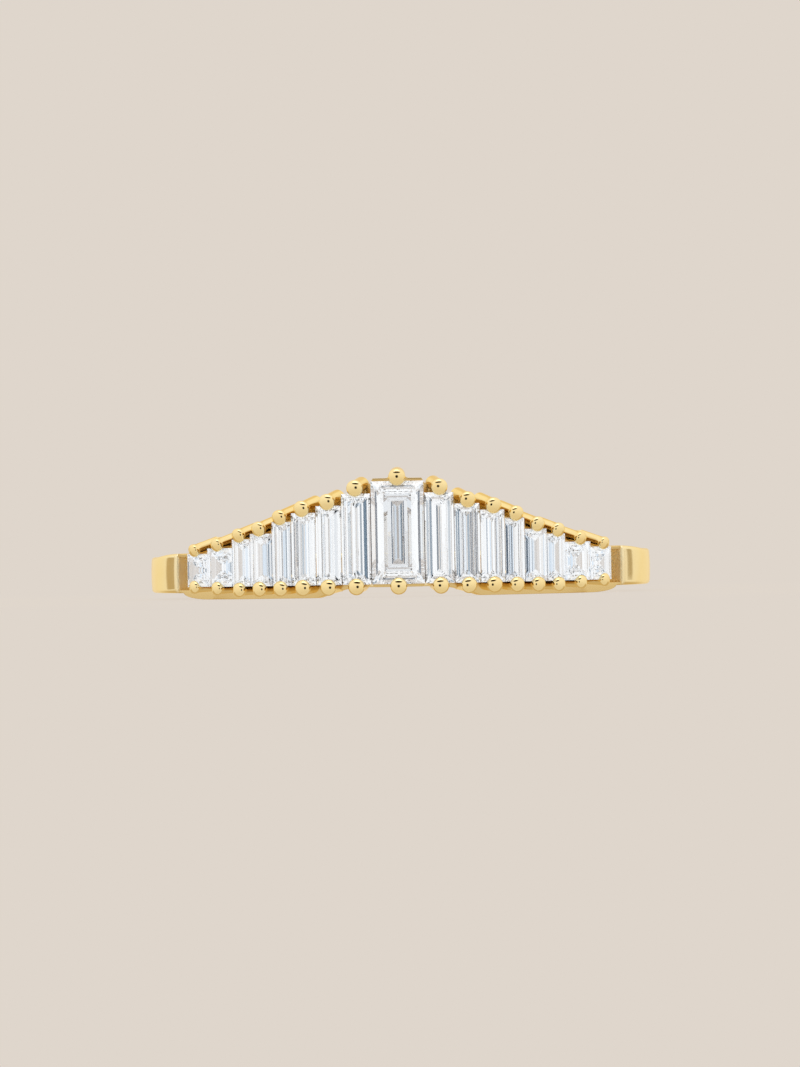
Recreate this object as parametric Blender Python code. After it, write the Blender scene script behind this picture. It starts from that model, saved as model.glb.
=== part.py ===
"""Diamond tiara ring in yellow gold, lying on its side with the tallest stone at the front.

The finger runs along Z. The stones face -Y and the peak of the tiara points up. Sizes below are in
millimetres, angles in degrees from the front, positive towards +X. The gallery's lower rim stands on z = 0.
"""

import math
from collections import namedtuple

import bmesh
import bpy
from mathutils import Matrix, Vector

MM = 0.001

# Shank
BORE_RADIUS = 8.50
SHANK_THICKNESS = 1.34
SHANK_HEIGHT = 1.41
SHANK_LOW = 0.26
SHANK_ROUNDING = 0.13
SHANK_CROWN = 0.03
BORE_CROWN = 0.01
SHANK_STEPS = 66

# Shoulders, where the shank swells and ends beside the last stone
SHOULDER_SWELL = 0.11
SHOULDER_RISE = 0.13
SHOULDER_ROUNDING = 0.13
SHOULDER_CORNER = 0.11
SHOULDER_SPAN = 3.60

# Gallery, the pierced wall behind the stones
GALLERY_THICKNESS = 0.74
GALLERY_EASE = 0.12
GALLERY_ROOT = 0.24
SCALLOP_RADIUS = 1.60
UPPER_JOIN = -0.30
LOWER_JOIN = 0.95
LOBE_SHARE = 0.94
RAIL_GAP = 0.12
RAIL_FILLET = 0.16
RIM_RISE = 0.25
RIM_GAP = 0.28
RIM_RUN = 0.97
RIM_STONES = (2, 3)

# Rounded end of the rail along the centre stone: length past the stone's corner and drop
RAIL_END = ((0.0, 0.0), (0.045, 0.03), (0.075, 0.09), (0.085, 0.16))
WINDOW_WIDTH = 0.52
WINDOW_ROUNDING = 0.42
WINDOW_MARGIN = 0.30

# Cheeks, the thin walls that frame the hollow between the last stone and the shoulder
CHEEK_LENGTH = 1.26
CHEEK_THICKNESS = 0.11
CHEEK_SPAN = 1.52
CHEEK_LIP = 0.06
CHEEK_SAG = 0.5

# Stones, set edge to edge with the corners of their girdles on one circle
CENTRE_WIDTH = 2.05
CENTRE_HEIGHT = 3.94
STONE_LOW = 0.50
STONE_GAP = 0.03
KEEL_CLEARANCE = 0.02

# Prongs: a round stem with a domed bead on its tip. Upper stems rise to their feet, the steeper the further
# round the ring they stand. Lower stems are level.
BEAD_RADIUS = 0.326
BEAD_RISE = 0.16
BEAD_DOME = 0.62
STEM_SHARE = 0.85
STEM_ROOT = 0.40
STEM_SLOPE = 0.055
STEM_STEEPER = 0.26
UPPER_FOOT = 1.12
LOWER_FOOT = 0.70
PRONG_SIDES = 12
BEAD_STEPS = 5
SEAT_CLEARANCE = 0.03

# One row for each matched pair, from the centre stone outwards. Widths and heights are shares of the centre
# stone's, beads are shares of its bead. "over" and "under" are how far the beads' centres sit past the stone's
# upper and lower edge, in radii of that bead.
Pair = namedtuple("Pair", "width height bead over under")
PAIRS = (
    Pair(1.000, 1.000, 1.00, 0.47, 0.26),
    Pair(0.562, 0.883, 0.98, 0.65, 0.28),
    Pair(0.501, 0.770, 0.96, 0.47, 0.31),
    Pair(0.495, 0.705, 0.96, 0.51, 0.31),
    Pair(0.413, 0.622, 0.91, 0.58, 0.38),
    Pair(0.488, 0.511, 0.89, 0.63, 0.41),
    Pair(0.431, 0.460, 0.85, 0.53, 0.48),
    Pair(0.655, 0.377, 0.80, 0.49, 0.25),
    Pair(0.615, 0.324, 0.77, 0.54, 0.02),
)

# Steps of the cut, from the table down to the keel: how far the step lies above the girdle and how far it is
# drawn in from the girdle's edge, both as shares of the stone's width.
Step = namedtuple("Step", "rise inset")
CUT = (
    Step(0.140, 0.240),
    Step(0.095, 0.110),
    Step(0.015, 0.000),
    Step(-0.015, 0.000),
    Step(-0.215, 0.155),
    Step(-0.345, 0.310),
    Step(-0.435, 0.480),
)

# What follows from the sizes above
SHANK_RADIUS = BORE_RADIUS + SHANK_THICKNESS
SHANK_HIGH = SHANK_LOW + SHANK_HEIGHT
SHOULDER_RADIUS = SHANK_RADIUS + SHOULDER_SWELL
SHOULDER_HIGH = SHANK_HIGH + SHOULDER_RISE
GALLERY_RADIUS = BORE_RADIUS + GALLERY_THICKNESS
GIRDLE_RADIUS = math.hypot(GALLERY_RADIUS + KEEL_CLEARANCE - CUT[-1].rise * CENTRE_WIDTH, CENTRE_WIDTH / 2)
BEAD_DISTANCE = GIRDLE_RADIUS + BEAD_RISE
ROOT_RADIUS = BORE_RADIUS + STEM_ROOT * GALLERY_THICKNESS
HALF_TURNS = tuple(math.degrees(math.asin(pair.width * CENTRE_WIDTH / 2 / GIRDLE_RADIUS)) for pair in PAIRS)
STONES_END = HALF_TURNS[0] + 2 * sum(HALF_TURNS[1:])
SHOULDER_ANGLE = STONES_END + math.degrees(CHEEK_LENGTH / GIRDLE_RADIUS)
SHOULDER_START = SHOULDER_ANGLE + math.degrees(SHOULDER_SPAN / GIRDLE_RADIUS)
CHEEK_START = SHOULDER_ANGLE - math.degrees(CHEEK_SPAN / GALLERY_RADIUS)
RIM_UP = SHOULDER_ANGLE - math.degrees(RIM_GAP / GALLERY_RADIUS)
RIM_TURN = RIM_UP - math.degrees(RIM_RUN / GALLERY_RADIUS)

# Front reach and back reach differ, so the finger axis stands behind the middle of the box.
AXIS_Y = (BEAD_DISTANCE + BEAD_DOME * BEAD_RADIUS - SHANK_RADIUS - SHANK_CROWN) / 2

# "upper" and "lower" are the heights of the beads' centres, "slope" is that of the upper stem.
Setting = namedtuple("Setting", "angle width low high bead upper lower slope")


def eased(share):
    """A smooth rise from 0 to 1."""
    share = min(max(share, 0.0), 1.0)
    return share * share * (3.0 - 2.0 * share)


def on_ring(angle, radius, z):
    """The point at this angle from the front, in metres and about the finger axis."""
    turn = math.radians(angle)
    return Vector((radius * math.sin(turn), -radius * math.cos(turn), z)) * MM


def lobe_radius(bead, side):
    """Radius of the gallery's lobe round the foot of this bead's stem, above (1) or below (-1) the stone."""
    foot = UPPER_FOOT if side > 0 else LOWER_FOOT
    return bead * STEM_SHARE * foot * LOBE_SHARE


def settings_of_half():
    """Where each stone of the right half sits, the centre stone first."""
    settings = []
    angle = 0.0
    for pair, half_turn in zip(PAIRS, HALF_TURNS):
        angle += half_turn if settings else 0.0
        high = STONE_LOW + pair.height * CENTRE_HEIGHT
        bead = pair.bead * BEAD_RADIUS
        upper = high + pair.over * bead
        lower = STONE_LOW - pair.under * bead
        slope = STEM_SLOPE + STEM_STEEPER * math.sin(math.radians(angle))
        width = pair.width * CENTRE_WIDTH
        settings.append(Setting(angle, width, STONE_LOW, high, bead, upper, lower, slope))
        angle += half_turn
    return settings


def mirrored(setting):
    return setting._replace(angle=-setting.angle)


# Outline of the gallery


def scallop_height(angle, knots):
    """Height at this angle of a line through knots of (angle, height), which sags past its first stretch."""
    for (turn, start), (next_turn, end) in zip(knots, knots[1:]):
        if turn <= angle <= next_turn:
            share = (angle - turn) / (next_turn - turn)
            spacing = math.radians(next_turn - turn) * GIRDLE_RADIUS
            depth = spacing**2 / (8 * SCALLOP_RADIUS) if turn else 0.0
            if next_turn == SHOULDER_ANGLE:
                depth *= CHEEK_SAG
            return start + (end - start) * share - 4 * share * (1 - share) * depth
    return knots[-1][1]


def rim_height(angle, settings):
    """Height of the rim's underside, which sinks to z = 0 under the outer stones and ends at the shank."""
    start, full = (settings[count].angle for count in RIM_STONES)
    end = min(max((angle - RIM_TURN) / (RIM_UP - RIM_TURN), 0.0), 1.0)
    fade = RIM_RISE * (1 - eased((angle - start) / (full - start)))
    return fade + SHANK_LOW * (1 - math.sqrt(1 - end**2))


def fillet_height(across, lobe):
    """Height above the rail of the fillet beside the centre prong's lobe."""
    away = min(max(abs(across) - lobe, 0.0), RAIL_FILLET)
    return RAIL_FILLET - math.sqrt(RAIL_FILLET**2 - (RAIL_FILLET - away) ** 2)


def edge_height(angle, settings, side):
    """Height of the gallery's upper (1) or lower (-1) edge.

    It is a flat rail along the centre stone, rounded off at its ends, and then scallops between the feet's
    lobes. Under the outer stones the lower edge is a plain rim.
    """
    angle = abs(angle)
    feet = []
    for setting in settings:
        rise = setting.slope * (BEAD_DISTANCE - GALLERY_RADIUS)
        centre = setting.upper + rise if side > 0 else -setting.lower
        feet.append((setting.angle, centre, lobe_radius(setting.bead, side)))
    rail = RAIL_GAP + (settings[0].high if side > 0 else -settings[0].low)
    join = UPPER_JOIN if side > 0 else LOWER_JOIN
    knots = [(0.0, rail)] + [(rail_angle(length), rail - drop) for length, drop in RAIL_END]
    knots += [(turn, centre + join * lobe) for turn, centre, lobe in feet[1:]]
    knots.append((SHOULDER_ANGLE, SHOULDER_HIGH if side > 0 else -SHANK_LOW))
    height = scallop_height(angle, knots)
    for turn, centre, lobe in feet:
        across = math.radians(angle - turn) * GALLERY_RADIUS
        if abs(across) < lobe:
            height = max(height, centre + math.sqrt(lobe**2 - across**2))
        elif not turn and angle < HALF_TURNS[0]:
            height += fillet_height(across, lobe)
    if side < 0 and angle > settings[RIM_STONES[0]].angle:
        height = max(height, -rim_height(angle, settings))
    return side * height


def rail_angle(length):
    """The angle at this length past the centre stone's corner."""
    return HALF_TURNS[0] + math.degrees(length / GALLERY_RADIUS)


def gallery_angles(settings):
    """Angles of the gallery's sections, close together round each foot."""
    uppers, lowers = (
        [math.degrees(lobe_radius(setting.bead, side) / GALLERY_RADIUS) for setting in settings] for side in (1, -1)
    )
    cheek = SHOULDER_ANGLE - CHEEK_START
    fillet = math.degrees(RAIL_FILLET / GALLERY_RADIUS)
    angles = {SHOULDER_ANGLE - share * cheek for share in (0.04, 0.2, 0.27, 0.4, 0.6, 0.78)}
    angles.update(rail_angle(length) for length, drop in RAIL_END)
    angles.update(lobe + share * fillet for lobe in (uppers[0], lowers[0]) for share in (0.05, 0.35, 1.0))
    for setting, upper, lower in zip(settings, uppers, lowers):
        for reach in (0.0, 0.62 * upper, 0.94 * upper, 0.95 * lower):
            angles.update((setting.angle + reach, setting.angle - reach))
    for first, second, lobe, next_lobe in zip(settings, settings[1:], uppers, uppers[1:]):
        middle = (first.angle + second.angle) / 2
        reach = (second.angle - first.angle - lobe - next_lobe) / 2
        angles.update((middle - 0.6 * reach, middle, middle + 0.6 * reach))
    return sorted(angles | {-angle for angle in angles})


def gallery_radius(angle):
    """Outer radius of the gallery, which swells to the shoulder past the last stone."""
    share = eased((abs(angle) - CHEEK_START) / (SHOULDER_ANGLE - CHEEK_START))
    return GALLERY_RADIUS + share * (SHOULDER_RADIUS - CHEEK_LIP - GALLERY_RADIUS)


# Meshes


def loft(name, rings):
    """A closed body through rings of points, with flat ends. All rings run the same way round."""
    mesh = bmesh.new()
    rows = [[mesh.verts.new(point) for point in ring] for ring in rings]
    for row, next_row in zip(rows, rows[1:]):
        for i in range(len(row)):
            j = (i + 1) % len(row)
            mesh.faces.new((row[i], row[j], next_row[j], next_row[i]))
    mesh.faces.new(rows[0][::-1])
    mesh.faces.new(rows[-1])
    return finished(mesh, name)


def finished(mesh, name):
    bmesh.ops.recalc_face_normals(mesh, faces=mesh.faces)
    data = bpy.data.meshes.new(name)
    mesh.to_mesh(data)
    mesh.free()
    return data


def add_mesh(mesh, data, matrix):
    """Adds a placed copy of a mesh to a bmesh."""
    copy = data.copy()
    copy.transform(matrix)
    mesh.from_mesh(copy)
    bpy.data.meshes.remove(copy)


def rounded_section(inner, outer, low, high, rounding):
    """Points (radius, height) round a rectangle with rounded corners and slightly swollen sides."""
    corners = ((outer, low, -90), (outer, high, 0), (inner, high, 90), (inner, low, 180))
    points = []
    for radius, height, start in corners:
        x = radius + (rounding if radius == inner else -rounding)
        y = height + (rounding if height == low else -rounding)
        for turn in (start, start + 45, start + 90):
            way = math.radians(turn)
            points.append((x + rounding * math.cos(way), y + rounding * math.sin(way)))
        if start in (-90, 90):
            out = SHANK_CROWN if start == -90 else -BORE_CROWN
            points.append((radius + out, (low + high) / 2))
    return points


def shank_mesh():
    """The band from one shoulder round the back to the other, with its ends rounded."""
    rings = []
    edge = math.degrees(SHOULDER_ROUNDING / SHANK_RADIUS)
    angles = [SHOULDER_ANGLE + edge * share for share in (0.0, 0.3, 1.0)]
    span = 360 - 2 * angles[-1]
    angles += [angles[-1] + span * i / SHANK_STEPS for i in range(1, SHANK_STEPS)]
    angles += [360 - (SHOULDER_ANGLE + edge * share) for share in (1.0, 0.3, 0.0)]
    for angle in angles:
        past = min(angle, 360 - angle)
        swell = eased((SHOULDER_START - past) / (SHOULDER_START - SHOULDER_ANGLE))
        along = min(max((past - SHOULDER_ANGLE) / edge, 0.0), 1.0)
        inset = SHOULDER_ROUNDING * (1 - math.sqrt(along * (2 - along)))
        section = rounded_section(
            BORE_RADIUS + inset,
            SHANK_RADIUS + swell * (SHOULDER_RADIUS - SHANK_RADIUS) - inset,
            SHANK_LOW + inset,
            SHANK_HIGH + swell * (SHOULDER_HIGH - SHANK_HIGH) - inset,
            SHANK_ROUNDING + swell * (SHOULDER_CORNER - SHANK_ROUNDING),
        )
        rings.append([on_ring(angle, radius, z) for radius, z in section])
    return loft("shank", rings)


def gallery_section(angle, settings, inset):
    inner = BORE_RADIUS + inset
    outer = gallery_radius(angle) - inset
    low = edge_height(angle, settings, -1) + inset
    high = edge_height(angle, settings, 1) - inset
    ease = GALLERY_EASE
    return (
        (inner + ease, low),
        (outer, low),
        (outer, high),
        (inner + ease, high),
        (inner, high - ease),
        (inner, low + ease),
    )


def gallery_mesh(settings):
    """The wall behind the stones, before it is pierced. Its narrowed ends run into the shoulders."""
    rings = []
    ends = SHOULDER_ANGLE + math.degrees(GALLERY_ROOT / BORE_RADIUS)
    for angle in [-ends] + gallery_angles(settings) + [ends]:
        inset = GALLERY_EASE if abs(angle) == ends else 0.0
        rings.append([on_ring(angle, radius, z) for radius, z in gallery_section(angle, settings, inset)])
    return loft("gallery", rings)


def cheek_recess_mesh(settings):
    """The hollow between the last stone and the shoulder, on both sides."""
    mesh = bmesh.new()
    outer = SHOULDER_RADIUS + CHEEK_LENGTH
    cheek = SHOULDER_ANGLE - CHEEK_START
    for side in (-1, 1):
        rings = []
        for share in (-0.06, 0.26, 0.46, 0.64, 0.82, 1.02):
            angle = CHEEK_START + share * cheek
            low = SHANK_LOW + CHEEK_THICKNESS
            high = edge_height(angle, settings, 1) - CHEEK_THICKNESS
            section = ((GALLERY_RADIUS, low), (outer, low), (outer, high), (GALLERY_RADIUS, high))
            rings.append([on_ring(side * angle, radius, z) for radius, z in section])
        half = loft("recess", rings)
        mesh.from_mesh(half)
        bpy.data.meshes.remove(half)
    return finished(mesh, "cheek_recesses")


def windows_mesh(settings):
    """One upright opening with rounded corners behind each stone."""
    mesh = bmesh.new()
    for setting in settings:
        width = setting.width * WINDOW_WIDTH
        height = setting.high - setting.low - 2 * WINDOW_MARGIN
        depth = 2 * GALLERY_THICKNESS
        box = bmesh.new()
        bmesh.ops.create_cube(box, size=1.0)
        bmesh.ops.scale(box, vec=Vector((width, depth, height)) * MM, verts=box.verts)
        along = [edge for edge in box.edges if abs((edge.verts[0].co - edge.verts[1].co).y) > depth / 2 * MM]
        rounding = WINDOW_ROUNDING * width * MM
        bmesh.ops.bevel(box, geom=along, offset=rounding, segments=3, profile=0.5, affect="EDGES")
        data = finished(box, "window")
        middle = (BORE_RADIUS + GALLERY_RADIUS) / 2
        place = Matrix.Translation(on_ring(setting.angle, middle, (setting.low + setting.high) / 2))
        add_mesh(mesh, data, place @ Matrix.Rotation(math.radians(setting.angle), 4, "Z"))
        bpy.data.meshes.remove(data)
    return finished(mesh, "windows")


def prong_mesh(bead, length, foot):
    """A stem along Z from the origin, with its bead's centre at this length and its foot this much thicker."""
    start = -math.acos(STEM_SHARE)
    profile = [(0.0, 0.0), (bead * STEM_SHARE * foot, 0.0)]
    for step in range(BEAD_STEPS):
        turn = start + (math.pi / 2 - start) * step / BEAD_STEPS
        dome = BEAD_DOME if turn > 0 else 1.0
        profile.append((bead * math.cos(turn), length + dome * bead * math.sin(turn)))
    profile.append((0.0, length + BEAD_DOME * bead))
    mesh = bmesh.new()
    verts = [mesh.verts.new(Vector((x, 0.0, z)) * MM) for x, z in profile]
    edges = [mesh.edges.new(pair) for pair in zip(verts, verts[1:])]
    bmesh.ops.spin(mesh, geom=edges, axis=(0, 0, 1), cent=(0, 0, 0), angle=math.tau, steps=PRONG_SIDES)
    bmesh.ops.remove_doubles(mesh, verts=mesh.verts, dist=0.0005 * MM)
    return finished(mesh, "prong")


def prongs_mesh(settings):
    """All prongs, one above and one below each stone."""
    mesh = bmesh.new()
    for setting in settings:
        for height, slope, thicker in ((setting.upper, setting.slope, UPPER_FOOT), (setting.lower, 0.0, LOWER_FOOT)):
            rise = slope * (BEAD_DISTANCE - ROOT_RADIUS)
            foot = on_ring(setting.angle, ROOT_RADIUS, height + rise)
            bead = on_ring(setting.angle, BEAD_DISTANCE, height)
            way = (bead - foot).to_track_quat("Z", "Y").to_matrix().to_4x4()
            data = prong_mesh(setting.bead, (bead - foot).length / MM, thicker)
            add_mesh(mesh, data, Matrix.Translation(foot) @ way)
            bpy.data.meshes.remove(data)
    return finished(mesh, "prongs")


def stone_mesh(name, width, height, clearance=0.0):
    """A step-cut stone with its girdle across XZ and its table towards -Y."""
    rings = []
    for step in CUT:
        half_width = width / 2 - step.inset * width + clearance
        half_height = height / 2 - step.inset * width + clearance
        out = step.rise * width + math.copysign(clearance, step.rise)
        corners = ((-1, -1), (1, -1), (1, 1), (-1, 1))
        rings.append([Vector((x * half_width, -out, z * half_height)) * MM for x, z in corners])
    return loft(name, rings)


def stone_place(setting):
    """Location of a stone's middle about the finger axis, and its turn."""
    flat = math.sqrt(GIRDLE_RADIUS**2 - (setting.width / 2) ** 2)
    return on_ring(setting.angle, flat, (setting.low + setting.high) / 2), math.radians(setting.angle)


def seats_mesh(name, settings):
    """Stones grown by the clearance, which notch the prongs."""
    mesh = bmesh.new()
    for setting in settings:
        width = setting.width - STONE_GAP
        data = stone_mesh("seat", width, setting.high - setting.low, SEAT_CLEARANCE)
        location, turn = stone_place(setting)
        add_mesh(mesh, data, Matrix.Translation(location) @ Matrix.Rotation(turn, 4, "Z"))
        bpy.data.meshes.remove(data)
    return finished(mesh, name)


# Objects


def material(name, colour, metallic, roughness, transmission=0.0, ior=1.45):
    made = bpy.data.materials.new(name)
    made.use_nodes = True
    surface = made.node_tree.nodes["Principled BSDF"]
    surface.inputs["Base Color"].default_value = (*colour, 1.0)
    surface.inputs["Metallic"].default_value = metallic
    surface.inputs["Roughness"].default_value = roughness
    surface.inputs["Transmission Weight"].default_value = transmission
    surface.inputs["IOR"].default_value = ior
    return made


def placed(name, data, collection, parent=None):
    thing = bpy.data.objects.new(name, data)
    collection.objects.link(thing)
    thing.parent = parent
    return thing


def helper(name, data, collection, parent):
    """A shape that only a Boolean uses."""
    thing = placed(name, data, collection, parent)
    thing.hide_render = True
    thing.display_type = "WIRE"
    return thing


def combine(thing, operation, other):
    modifier = thing.modifiers.new(other.name, "BOOLEAN")
    modifier.operation = operation
    modifier.solver = "EXACT"
    modifier.object = other


def main():
    for thing in list(bpy.data.objects):
        bpy.data.objects.remove(thing)
    ring = bpy.data.collections.new("diamond_tiara_ring")
    helpers = bpy.data.collections.new("diamond_tiara_ring_helpers")
    helpers.hide_render = True
    bpy.context.scene.collection.children.link(ring)
    bpy.context.scene.collection.children.link(helpers)
    gold = material("yellow_gold", (0.90, 0.68, 0.33), 1.0, 0.12)
    diamond = material("diamond", (1.0, 1.0, 1.0), 0.0, 0.0, transmission=1.0, ior=2.417)

    half = settings_of_half()
    whole = [mirrored(setting) for setting in half[:0:-1]] + half

    body = placed("ring_body", shank_mesh(), ring)
    body.data.materials.append(gold)
    body.location = (0.0, AXIS_Y * MM, 0.0)

    gallery = helper("gallery", gallery_mesh(half), helpers, body)
    windows = helper("gallery_windows", windows_mesh(whole), helpers, body)
    recesses = helper("cheek_recesses", cheek_recess_mesh(half), helpers, body)
    combine(gallery, "DIFFERENCE", windows)
    combine(gallery, "DIFFERENCE", recesses)
    prongs = helper("prongs", prongs_mesh(whole), helpers, body)
    for name, some in (("seats_even", whole[::2]), ("seats_odd", whole[1::2])):
        combine(prongs, "DIFFERENCE", helper(name, seats_mesh(name, some), helpers, body))
    combine(body, "UNION", gallery)
    combine(body, "UNION", prongs)

    for count, setting in enumerate(half):
        name = f"diamond_{count}" if count else "diamond_centre"
        data = stone_mesh(name, setting.width - STONE_GAP, setting.high - setting.low)
        data.materials.append(diamond)
        sides = (("right", setting), ("left", mirrored(setting)))
        for side, this in sides if count else sides[:1]:
            stone = placed(f"diamond_{side}_{count}" if count else name, data, ring, body)
            stone.location, turn = stone_place(this)
            stone.rotation_euler.z = turn


if __name__ == "__main__":
    main()
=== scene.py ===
"""Looks of a yellow gold ring whose front rises to a peak of seventeen step-cut diamonds.

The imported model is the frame: every stone stays where its node is, and the gold casting is built again in
four finer pieces (shank, gallery, upper prongs and lower prongs) round the same finger axis. Lengths are in
metres, angles in radians unless a name says degrees. The finger runs along Z and the stones face -Y.
"""

import logging
import math
import random
from dataclasses import dataclass
from enum import Enum
from functools import partialmethod

import bmesh
import bpy
from mathutils import Matrix, Vector


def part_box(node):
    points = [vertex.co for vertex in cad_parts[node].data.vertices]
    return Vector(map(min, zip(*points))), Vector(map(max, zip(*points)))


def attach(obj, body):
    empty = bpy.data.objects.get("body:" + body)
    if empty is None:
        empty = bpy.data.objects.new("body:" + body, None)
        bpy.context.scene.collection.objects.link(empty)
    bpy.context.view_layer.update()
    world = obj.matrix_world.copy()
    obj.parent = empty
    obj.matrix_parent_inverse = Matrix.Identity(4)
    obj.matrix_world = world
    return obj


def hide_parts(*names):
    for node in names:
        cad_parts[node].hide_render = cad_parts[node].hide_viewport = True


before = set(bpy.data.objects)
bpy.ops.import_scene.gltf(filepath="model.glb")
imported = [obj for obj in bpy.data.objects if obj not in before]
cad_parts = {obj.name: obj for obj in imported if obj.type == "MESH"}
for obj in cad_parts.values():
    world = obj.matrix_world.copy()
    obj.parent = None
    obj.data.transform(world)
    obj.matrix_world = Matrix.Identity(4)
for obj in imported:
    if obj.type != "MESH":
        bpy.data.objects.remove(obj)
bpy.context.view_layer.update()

log = logging.getLogger("tiara_ring")

MM = 0.001
CORNERS = ((-1, -1), (1, -1), (1, 1), (-1, 1))
HARD_EDGE = math.radians(60)
SOFT_EDGE = math.radians(35)
BEVEL_SEGMENTS = 4

Colour = tuple[float, float, float]
Span = tuple[float, float]
Material = bpy.types.Material
Mesh = bpy.types.Mesh
Object = bpy.types.Object


class Slot(Enum):
    """The record's material slots."""

    GOLD = "yellow_gold"
    DIAMOND = "diamond"


class Edge(Enum):
    """The two edges of the gallery wall."""

    UPPER = 1
    LOWER = -1


# Node trees


class Value:
    """What a node puts out. Arithmetic on it adds Math nodes to its tree."""

    def __init__(self, tree: "Tree", socket: bpy.types.NodeSocket) -> None:
        """Wraps an output socket of a tree."""
        self.tree = tree
        self.socket = socket

    def into(self, operation: str, *others: "Term") -> "Value":
        """This value and others through a Math node. A comparison gives 1 where it holds and 0 elsewhere."""
        return self.tree.maths(operation, self, *others)

    def __rsub__(self, other: float) -> "Value":
        """A plain number less this."""
        return self.tree.maths("SUBTRACT", other, self)

    __add__ = partialmethod(into, "ADD")
    __sub__ = partialmethod(into, "SUBTRACT")
    __mul__ = partialmethod(into, "MULTIPLY")
    __truediv__ = partialmethod(into, "DIVIDE")
    __abs__ = partialmethod(into, "ABSOLUTE")
    __lt__ = partialmethod(into, "LESS_THAN")
    __gt__ = partialmethod(into, "GREATER_THAN")


Term = Value | float | int | str | bool | tuple | bpy.types.ID
Terms = dict[str, Term] | tuple[Term, ...]


class Tree:
    """Adds nodes to one node tree and links them."""

    def __init__(self, tree: bpy.types.NodeTree) -> None:
        """Wraps the shader, world or geometry tree to fill."""
        self.tree = tree

    @staticmethod
    def socket(sockets: bpy.types.bpy_prop_collection, key: int | str) -> bpy.types.NodeSocket:
        """Finds a node's socket.

        Args:
            sockets: the node's inputs or outputs.
            key: its place, or its name where several share it and one is in use.

        Returns:
            The socket.
        """
        if isinstance(key, int):
            return sockets[key]
        return next(socket for socket in sockets if socket.name == key and socket.enabled)

    def fill(self, node: bpy.types.Node, terms: Terms) -> None:
        """Links values into a node's inputs, or sets the inputs' own values.

        Args:
            node: the node.
            terms: what goes in, by the inputs' names or in their order.
        """
        for key, term in terms.items() if isinstance(terms, dict) else enumerate(terms):
            socket = self.socket(node.inputs, key)
            if isinstance(term, Value):
                self.tree.links.new(term.socket, socket)
            else:
                socket.default_value = (*term, 1.0) if socket.type == "RGBA" else term

    def add(self, kind: str, terms: Terms = (), output: int | str = 0, **settings: object) -> Value:
        """Adds one node.

        Args:
            kind: the node's type.
            terms: what goes into its inputs.
            output: the output that is wanted, by name or place.
            settings: the node's own properties.

        Returns:
            The output.
        """
        node = self.tree.nodes.new(kind)
        for name, value in settings.items():
            setattr(node, name, value)
        self.fill(node, terms)
        return Value(self, self.socket(node.outputs, output))

    def maths(self, operation: str, *terms: Term) -> Value:
        """Adds a Math node with this operation on these terms."""
        return self.add("ShaderNodeMath", terms, operation=operation)

    def between(self, value: Term, start: Term, end: Term, low: Term = 0.0, high: Term = 1.0) -> Value:
        """Eases from low to high while a value runs from start to end."""
        return self.add("ShaderNodeMapRange", (value, start, end, low, high), interpolation_type="SMOOTHSTEP")

    def mixed(self, share: Term, first: Term, second: Term) -> Value:
        """Mixes this share of a second colour into a first."""
        terms = {"Factor": share, "A": first, "B": second}
        return self.add("ShaderNodeMix", terms, "Result", data_type="RGBA")

    def noise(self, size: float, detail: float = 2.0) -> Value:
        """A random pattern in the object's own space, with marks of this size."""
        terms = {"Vector": self.coordinates("Object"), "Scale": 1 / size, "Detail": detail}
        return self.add("ShaderNodeTexNoise", terms)

    def coordinates(self, kind: str) -> Value:
        """The place or the normal of what is shaded, or the way to it in a world."""
        return self.add("ShaderNodeTexCoord", output=kind)

    def split(self, vector: Value) -> list[Value]:
        """A vector's X, Y and Z."""
        x = self.add("ShaderNodeSeparateXYZ", (vector,))
        return [x] + [Value(self, x.socket.node.outputs[i]) for i in (1, 2)]

    def vector(self, x: Term = 0.0, y: Term = 0.0, z: Term = 0.0) -> Value:
        """A vector from its X, Y and Z."""
        return self.add("ShaderNodeCombineXYZ", (x, y, z))


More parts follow.
